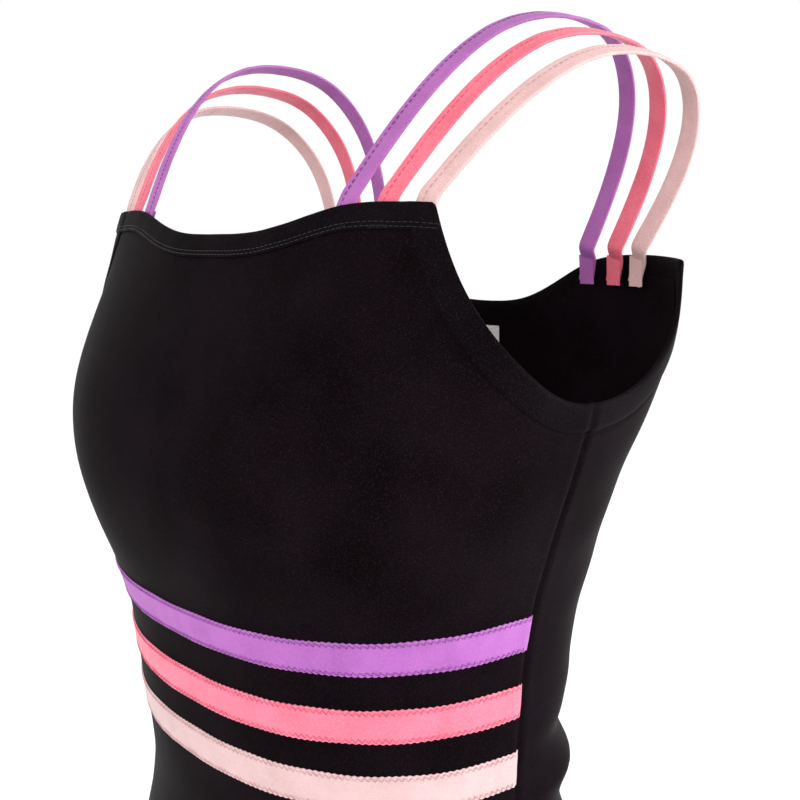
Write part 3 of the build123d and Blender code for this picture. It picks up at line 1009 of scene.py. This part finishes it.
def stripe_line(edge_z, sag):
    """A level line on the front of the skin, from one side seam to the other."""
    angles = np.linspace(math.radians(180.5), math.radians(359.5), 400)
    z = np.full(len(angles), float(edge_z))
    for _ in range(3):
        ring = skin_ring(z, angles)
        z = arc_height(ring[:, 0], edge_z, sag)
    return even_line(ring[ring[:, 1] < SIDE_SEAM_Y], False, 1.0)


def make_stripe(colour):
    top_z, bottom_z, sag = STRIPES[colour]
    top, bottom = stripe_line(top_z, sag), stripe_line(bottom_z, sag)
    count = int(lengths_along(top)[-1] / 0.75)
    top, bottom = (resampled(line, np.linspace(0, lengths_along(line)[-1], count)) for line in (top, bottom))
    place = np.linspace(0, lengths_along(top)[-1], count)
    phase = len(colour)
    scallop = 0.30 * np.sin(place * 2 * math.pi / STITCH_PITCH + phase) + 0.18 * np.sin(place / 6.1 + phase)
    lower = 0.30 * np.sin(place * 2 * math.pi / STITCH_PITCH + 2.2) + 0.18 * np.sin(place / 7.3 + 3 * phase)
    width = np.linalg.norm(top - bottom, axis=1)
    down = (bottom - top) / width[:, None]
    puckers = 0.10 * np.sin(place / 1.9 + 1.5 * np.sin(place / 17)) + 0.06 * np.sin(place / 4.4 + phase)
    columns = [(0.0, 1.62, 1), (0.0, 1.95, 1), (0.35, 2.12, 1), (1.3, 2.02, 1), (2.6, 2.12, 1),
               (4.5, 2.2, 0.5),
               (None, 2.2, 0), (-4.5, 2.2, -0.5), (-2.6, 2.12, -1), (-1.3, 2.02, -1), (-0.35, 2.12, -1),
               (0.0, 1.95, -1), (0.0, 1.62, -1)]
    rows = []
    for inset, height, edge in columns:
        if edge > 0:
            spots = top + down * (inset - scallop * (edge == 1))[:, None]
        elif edge < 0:
            spots = bottom + down * (inset + lower * (edge == -1))[:, None]
        else:
            spots = (top + bottom) / 2
        lift = puckers * (height > 2) * (1 - 0.6 * (edge == 0))
        rows.append(drape(spots, height + lift)[0])
    ribbon = np.stack(rows, 1).reshape(-1, 3), tube_faces(count, len(columns), False)
    threads = []
    for line, way in ((top, 1), (bottom, -1)):
        points, normals = drape(line + down * way * 0.5, 2.2)
        threads.append(zigzag(points, normals, down * way, 2.1, STITCH_PITCH, 0.17))
    stripe = make_piece(colour + "_stripe", [(ribbon, FABRICS[colour])], [colour + "_stripe"])
    sewing = make_piece(colour + "_stripe_stitching", [(joined(threads), THREADS[colour])], ())
    return stripe, sewing


STRIPE_REACH = 139
STITCH_PITCH = 3.0
for colour in STRIPES:
    make_stripe(colour)

# ---- straps ----------------------------------------------------------------


def strap_path(colour):
    """The middle of a left strap: from behind the front hem, over the shoulder, to behind the back hem."""
    x, front_y, back_y, height, tilt = STRAPS[colour]
    front = np.array([x, front_y, FRONT_PIVOT_Z], float)
    back = np.array([x, back_y, BACK_PIVOT_Z], float)
    span = np.linalg.norm(back - front)
    along = (back - front) / span
    upright = np.cross([1, 0, 0], along)
    lean = upright * math.cos(math.radians(tilt)) + np.array([1.0, 0, 0]) * math.sin(math.radians(tilt))
    arch = [front - along * STRAP_END_LEAN - lean * STRAP_END_DROP]
    arch += [front + along * span * s + lean * height * t for s, t in ARCH]
    arch += [back - lean * STRAP_END_DROP]
    ends = []
    for side, top in ((-1, FRONT_PIVOT_Z), (1, BACK_PIVOT_Z)):
        slant = math.tan(math.radians(tilt)) * END_SLANT
        spots = np.array([skin_point(x - slant * (depth - 4), top - depth, side)
                          for depth in range(8, 22, 2)])
        ends.append(drape(spots, -0.75)[0])
    route = np.concatenate([ends[0][::-1], smooth_line(arch, 240)[2:-2], ends[1]])
    path = even_line(route, False, 1.1)
    return path, np.cross(along, lean), front, back


def strap_profile(colour):
    """(across, height) round a strap, from the neck side to the shoulder side and back."""
    half, thick = STRAP_WIDTH / 2, 0.95
    top = [(-half, 0.0), (-half + 0.12, 0.55), (-half + 0.6, 0.85)]
    if colour == "purple":
        top += [(-3.0, 1.0), (-2.5, 0.82), (-2.1, 0.80), (-1.7, 0.82), (-1.2, 1.02), (1.0, 1.08), (3.4, 1.0)]
    else:
        top += [(-2.4, 1.0), (-1.9, 0.84), (-1.5, 0.82), (-1.1, 0.86), (-0.6, 1.02), (0.8, 1.06), (1.6, 1.0),
                (1.95, 0.82), (2.3, 1.0), (2.7, 0.98), (3.0, 0.80), (3.35, 0.98), (3.7, 0.95), (3.95, 0.78),
                (4.25, 0.88)]
    top += [(half - 0.5, 0.82), (half - 0.08, 0.5), (half, 0.0)]
    under = [(half - 0.1, -0.55), (half - 0.6, -0.85), (1.5, -thick), (-1.5, -thick), (-half + 0.6, -0.85),
             (-half + 0.1, -0.55)]
    return top + under


def ribbon_frame(path, across):
    along = tangents(path, False)
    across = unit(across - (across * along).sum(1)[:, None] * along)
    return across, np.cross(across, along)


def make_strap(colour):
    path, flat_across, front, back = strap_path(colour)
    lengths = lengths_along(path)
    total = lengths[-1]
    _, skin = drape(path, 0)
    sideways = unit(np.cross(tangents(path, False), skin))
    sideways *= np.sign((sideways * flat_across).sum(1))[:, None]
    from_end = np.minimum(lengths, total - lengths)
    rise = np.clip((from_end - 10) / 16, 0, 1)
    rise = rise * rise * (3 - 2 * rise)
    across, out = ribbon_frame(path, sideways * (1 - rise)[:, None] + flat_across * rise[:, None])
    middle = len(path) // 2
    across *= np.sign(across[middle][0])
    out *= np.sign(out[middle][2])
    squeeze = 0.62 + 0.38 * np.clip((from_end - 9) / 5, 0, 1)
    ripple = 0.05 * np.sin(lengths / 2.3 + np.sin(lengths / 13)) + 0.05 * np.sin(lengths / 5.7)
    profile = strap_profile(colour)
    rows = []
    for reach, height in profile:
        lift = (height + ripple * (abs(reach) < 4.6)) * squeeze
        edge = reach * (1 + 0.012 * np.sin(lengths / 7 + 1)) * (abs(reach) > 4) + reach * (abs(reach) <= 4)
        rows.append(path + across * np.asarray(edge).reshape(-1, 1) + out * lift[:, None])
    band_part = np.stack(rows, 1).reshape(-1, 3), tube_faces(len(path), len(profile), False)
    seams = (-2.4, -1.8) if colour == "purple" else (-1.5,)
    threads = joined([stitches(path + across * seam + out * 0.86 * squeeze[:, None], out, 2.0, 1.0, 0.15, 0.1)
                      for seam in seams])
    core = [(-4, -0.35), (-4, 0.35), (4, 0.35), (4, -0.35)]
    inner = path[12:-12]
    core_rows = [inner + across[12:-12] * w + out[12:-12] * h * squeeze[12:-12, None] for w, h in core]
    core_part = np.stack(core_rows, 1).reshape(-1, 3), tube_faces(len(inner), len(core), False)
    for side, mirror in (("left", 1), ("right", -1)):
        node = side + "_" + colour + "_strap"
        flip = (lambda part: part) if mirror == 1 else mirrored
        strap = make_piece(node, [(flip(band_part), STRAP_FABRICS_WITH_PAINTED_SHADE[colour]),
                                  (flip(threads), THREADS[colour])], [node],
                           None)
        elastic = make_piece(node + "_elastic", [(flip(core_part), ELASTIC)], [node + "_elastic"],
                             None)
        for piece in (strap, elastic):
            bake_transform(piece)


for colour in STRAPS:
    make_strap(colour)

# ---- strap ends and bar tacks ----------------------------------------------


def patch(x, side, top_z, bottom_z, half_width, low, high, step=1.0):
    """A small piece of cloth on the skin, with rounded edges, as (points, faces)."""
    rows = int((top_z - bottom_z) / step) + 1
    profile = [(-1, 0.2), (-1, 0.8), (-0.9, 1), (0, 1), (0.9, 1), (1, 0.8), (1, 0.2), (0.9, 0), (0, 0),
               (-0.9, 0)]
    rings = []
    for z in np.linspace(top_z, bottom_z, rows):
        spots = np.array([skin_point(x + reach * half_width, z, side) for reach, _ in profile])
        rings.append(drape(spots, np.array([low + share * (high - low) for _, share in profile]))[0])
    return np.concatenate(rings), tube_faces(rows, len(profile), False)


for colour in STRAPS:
    x = STRAPS[colour][0] - math.tan(math.radians(STRAPS[colour][4])) * END_SLANT * 9
    ends = joined([patch(x, side, top - 5.6, top - 21.2, 4.9, -2.05, -1.45)
                   for side, top in ((-1, FRONT_PIVOT_Z), (1, BACK_PIVOT_Z))])
    make_piece(colour + "_strap_ends",
               [(ends, STRAP_FABRICS_WITH_PAINTED_SHADE[colour]), (mirrored(ends), STRAP_FABRICS_WITH_PAINTED_SHADE[colour])],
               [colour + "_strap_ends"])


def bar_tack(x, side, z):
    """A close zigzag of thread, a few millimetres wide."""
    count = 24
    spots = np.array([skin_point(x + TACK_WIDTH * (k / count - 0.5), z + 0.8 * (k % 2 * 2 - 1), side)
                      for k in range(count + 1)])
    return tube(drape(spots, 2.45)[0], 0.11, 4)


TACK_WIDTH = 8
TACK_DROP = 16
tacks = joined([bar_tack(STRAPS[colour][0], side, top - TACK_DROP) for colour in STRAPS
                for side, top in ((-1, FRONT_PIVOT_Z), (1, BACK_PIVOT_Z))])
make_piece("strap_tacks", [(tacks, THREADS["black"]), (mirrored(tacks), THREADS["black"])], ["strap_tacks"])

# ---- side seams and label --------------------------------------------------


def seam_line():
    """The left side seam, from the armhole band to the leg band."""
    places = [skin_point_side(z) for z in np.arange(194, -101, -1.5)]
    return np.array(places)


def skin_point_side(z):
    return np.array(SKIN_TREE.ray_cast((400, SIDE_SEAM_Y, z), (-1, 0, 0))[0])


SEAM = seam_line()
SEAM_ACROSS = inward_from(SEAM, False, lambda points: points[:, 1])
tape_profile = [(0.2, -0.25), (0.2, -0.85), (3.5, -0.95), (6.6, -0.85), (6.6, -0.25), (3.5, -0.15)]
tape_rows = [drape(SEAM + SEAM_ACROSS * reach, height)[0] for reach, height in tape_profile]
tape = np.stack(tape_rows, 1).reshape(-1, 3), tube_faces(len(SEAM), len(tape_profile), False)
seam_points, seam_normals = drape(SEAM + SEAM_ACROSS * 0.6, -0.95)
overlock = zigzag(seam_points, -seam_normals, SEAM_ACROSS, 5.4, 2.4, 0.2)
both_sides(joined([tape]), lambda side, part: make_piece(
    side + "_side_seam", [(part, SEAM_TAPE)], [side + "_side_seam"]))
both_sides(overlock, lambda side, part: make_piece(
    side + "_seam_stitching", [(part, THREADS["black"])], ()))

label_part = patch(0, 1, 222, 192, 12, -1.6, -1.2, 2)
care_label = make_piece("care_label", [(label_part, LABEL)], ["care_label"])

# ---- camera, floor and light -----------------------------------------------

scene = bpy.context.scene
camera_data = bpy.data.cameras.new("camera")
camera_data.lens = 46.76
camera_data.clip_start = 0.01
camera = bpy.data.objects.new("camera", camera_data)
heading, pitch = math.radians(46.06), math.radians(-8.854)
facing = Vector((-math.sin(heading) * math.cos(pitch), math.cos(heading) * math.cos(pitch), math.sin(pitch)))
camera.location = (0.41135, -0.35846, 0.273)
camera.rotation_euler = facing.to_track_quat("-Z", "Y").to_euler()
scene.collection.objects.link(camera)
scene.camera = camera

floor_mesh = bpy.data.meshes.new("floor")
floor_mesh.from_pydata([(-9, -9, -0.29), (9, -9, -0.29), (9, 9, -0.29), (-9, 9, -0.29)], [], [(0, 1, 2, 3)])
floor = bpy.data.objects.new("floor", floor_mesh)
scene.collection.objects.link(floor)
paper = Graph("white paper", Specular_IOR_Level=0.1)
paper_tone = paper.blend(paper.noise(3, 2), tone(0.97, 0.97, 0.97), tone(0.985, 0.985, 0.985))
floor_mesh.materials.append(paper.finish(paper_tone, paper.spread(paper.noise(40), 0, 1, 0.8, 0.9),
                                         paper.noise(900), 0.0001))

world = bpy.data.worlds.new("studio")
world.use_nodes = True
world.node_tree.nodes["Background"].inputs["Color"].default_value = tone(1, 1, 1)
world.node_tree.nodes["Background"].inputs["Strength"].default_value = 1.02
scene.world = world
scene.view_settings.view_transform = "Standard"


def soft_light(name, place, target, size, power, warmth=(1, 1, 1)):
    data = bpy.data.lights.new(name, "AREA")
    data.shape = "RECTANGLE"
    data.size, data.size_y = size
    data.energy = power
    data.color = warmth
    lamp = bpy.data.objects.new(name, data)
    lamp.location = place
    lamp.rotation_euler = (Vector(target) - Vector(place)).to_track_quat("-Z", "Y").to_euler()
    scene.collection.objects.link(lamp)


soft_light("key", (1.3, -1.9, 0.9), (0, 0, 0.1), (1.4, 1.4), 24)
soft_light("side", (1.9, 1.5, 0.6), (0, 0, 0.0), (0.8, 1.6), 44)
